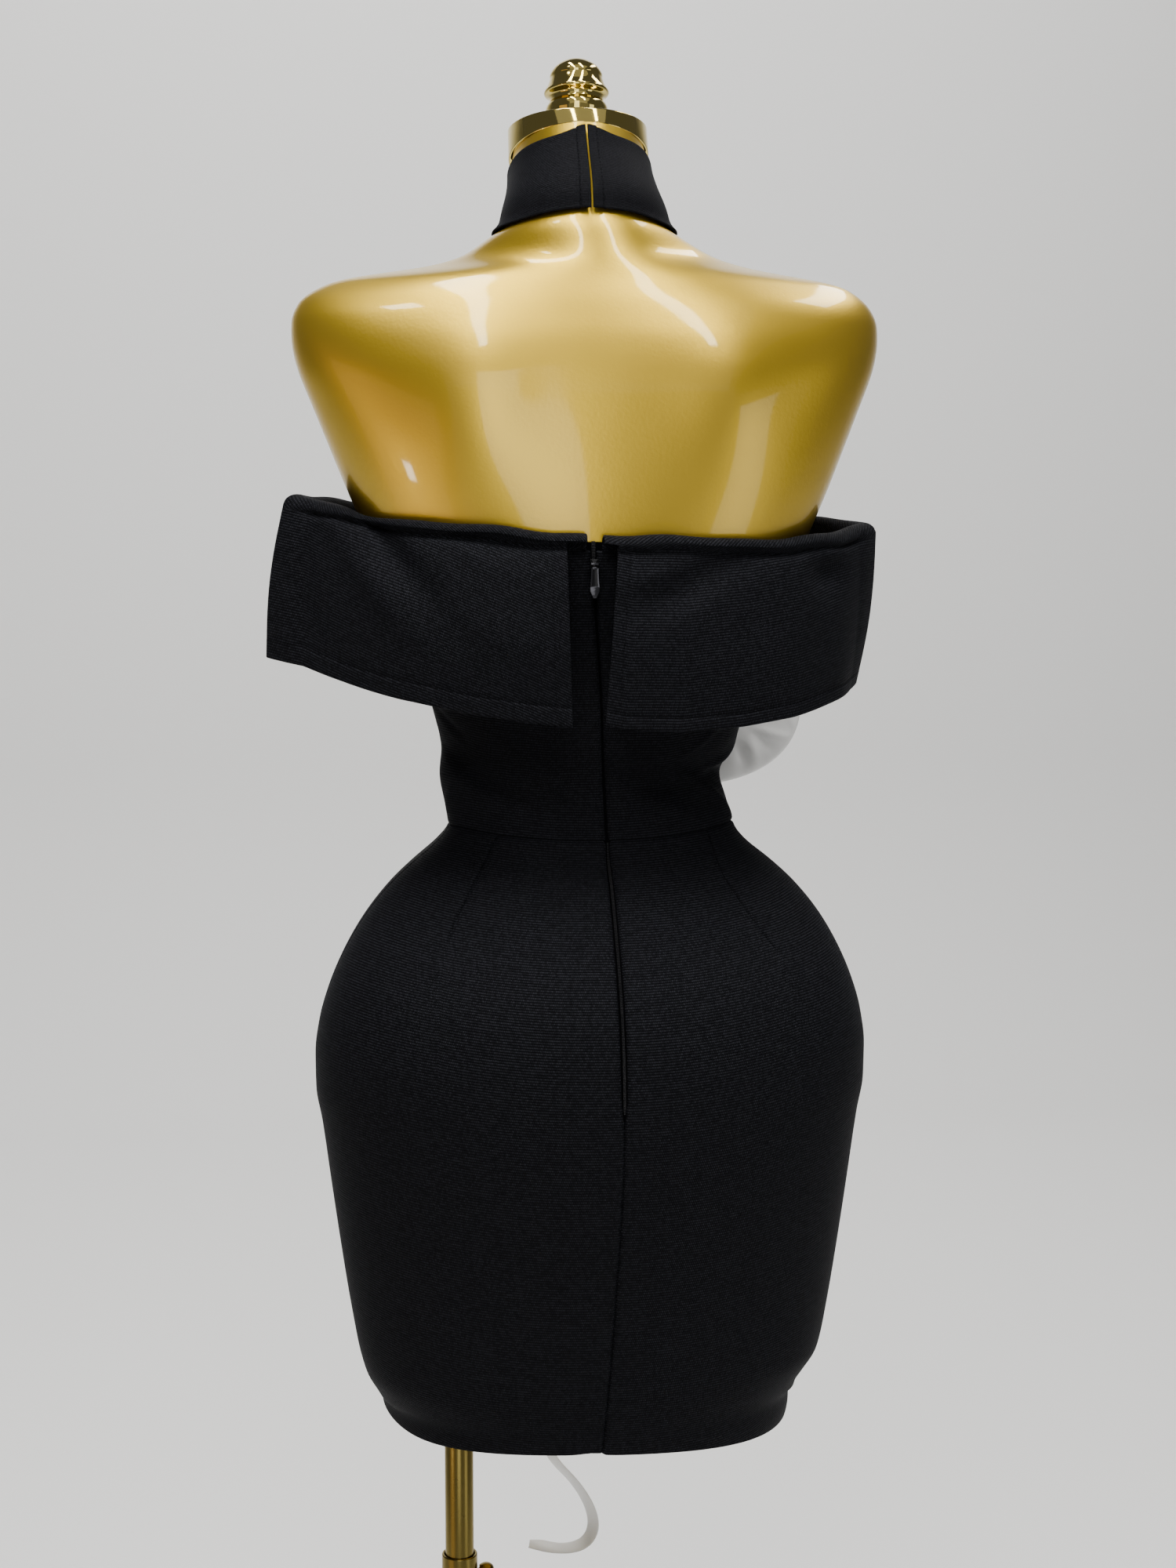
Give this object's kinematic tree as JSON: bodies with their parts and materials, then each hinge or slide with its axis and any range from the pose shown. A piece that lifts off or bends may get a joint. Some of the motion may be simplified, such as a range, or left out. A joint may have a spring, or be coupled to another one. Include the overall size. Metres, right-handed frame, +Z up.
{
  "type": "bodycon dress on dress form",
  "caption": "Off-shoulder black rib-knit bodycon mini dress with neck band, wide fold-over cuff, back zip and satin bow, on a limbless gold dress form with a rod stand.",
  "frame": {"origin": "centre of the base plate's underside, on the floor", "axes": "+Z up, along the stand; the dress's front faces -Y and its zipped back +Y; the wearer's left is +X"},
  "size_m": [0.4127, 0.36, 1.5631],
  "materials": {
    "knit_black": "matt fine horizontal rib knit",
    "tape_black": "woven zip tape and nylon coil",
    "zip_grey": "dark lacquered metal",
    "satin_white": "white satin",
    "form_gold": "glossy metallic gold lacquer",
    "polished_gold": "polished pale gold plating",
    "stand_gold": "polished gold plating"
  },
  "bodies": {
    "stand": {"base_plate": "stand_gold", "base_flange": "stand_gold", "lower_tube": "stand_gold"},
    "form": {"upper_rod": "stand_gold", "form_torso": "form_gold", "neck_cap": "polished_gold", "finial": "polished_gold", "neck_band": "knit_black", "halter_front": "knit_black", "bodice_front": "knit_black", "bodice_back_left": "knit_black", "bodice_back_right": "knit_black", "skirt_front": "knit_black", "skirt_back_left": "knit_black", "skirt_back_right": "knit_black", "cuff_front": "knit_black", "cuff_back_left": "knit_black", "cuff_back_right": "knit_black", "zip_tape": "tape_black", "zip_slider": "zip_grey", "bow_loop_left": "satin_white", "bow_loop_right": "satin_white", "bow_knot": "satin_white", "bow_ribbon": "satin_white"},
    "zip_pull": {"zip_pull": "zip_grey"},
    "knob": {"clamp_knob": "stand_gold"}
  },
  "joints": [
    {"name": "height_slide", "type": "slide", "parent": "stand", "child": "form", "axis": [0, 0, 1], "range_m": [-0.1, 0.2]},
    {"name": "zip_pull_swing", "type": "hinge", "parent": "form", "child": "zip_pull", "pos_m": [0.00693, 0.10083, 1.219], "axis": [1, 0, 0], "range_deg": [0, 150]},
    {"name": "knob_turn", "type": "hinge", "parent": "stand", "child": "knob", "pos_m": [0.0771, 0, 0.5105], "axis": [-1, 0, 0], "continuous": true}
  ]
}
